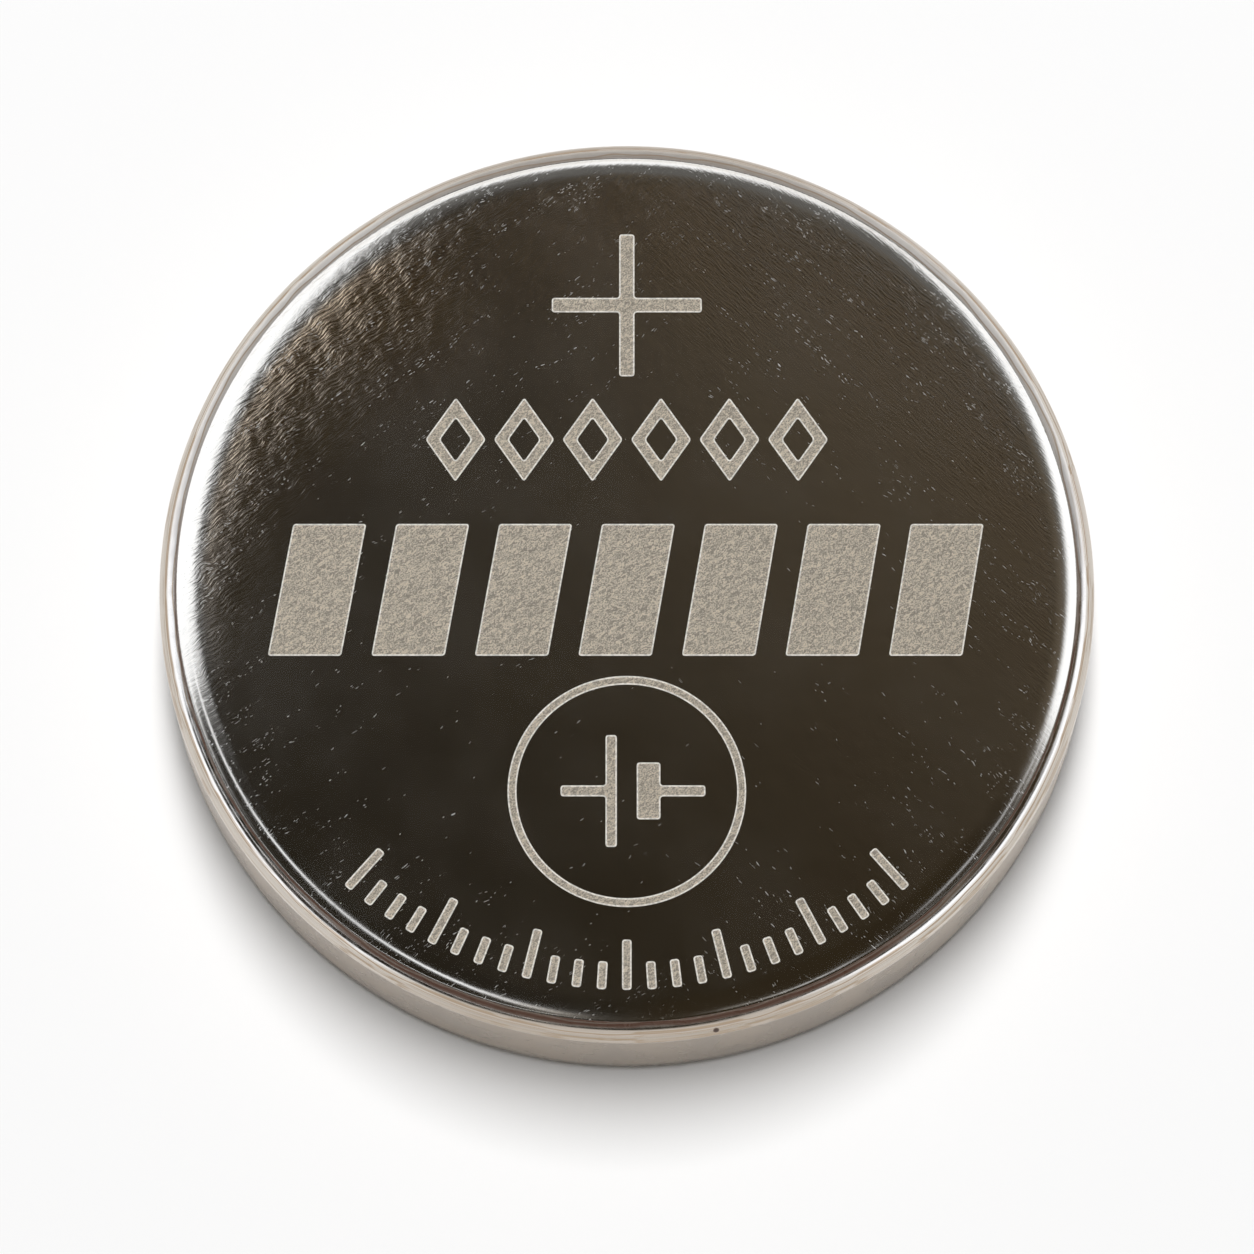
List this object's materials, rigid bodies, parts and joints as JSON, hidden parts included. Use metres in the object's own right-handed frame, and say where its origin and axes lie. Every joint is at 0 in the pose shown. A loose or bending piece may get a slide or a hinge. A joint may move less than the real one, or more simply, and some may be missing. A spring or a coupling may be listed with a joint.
{
  "type": "lithium coin cell",
  "caption": "Flat round lithium cell with a crimped steel can as its positive side and a stepped steel cap as its negative side.",
  "frame": {"origin": "middle of the flat negative face, on the surface that the cell lies on", "axes": "+Z is the cell's axis, from the negative face to the positive face"},
  "size_m": [0.02, 0.02, 0.0032],
  "materials": {
    "can_steel": "bright nickel-plated, with fine scratches",
    "gasket_plastic": "dark translucent polypropylene",
    "cap_steel": "satin nickel-plated",
    "lithium_foil": "dull soft metal",
    "separator_fleece": "non-woven fleece",
    "cathode_mix": "pressed black powder",
    "mesh_steel": "expanded metal"
  },
  "bodies": {
    "root": {"positive_can": "can_steel", "sealing_gasket": "gasket_plastic", "negative_cap": "cap_steel", "lithium_disc": "lithium_foil", "separator_disc": "separator_fleece", "cathode_pellet": "cathode_mix", "collector_mesh": "mesh_steel"}
  },
  "joints": []
}
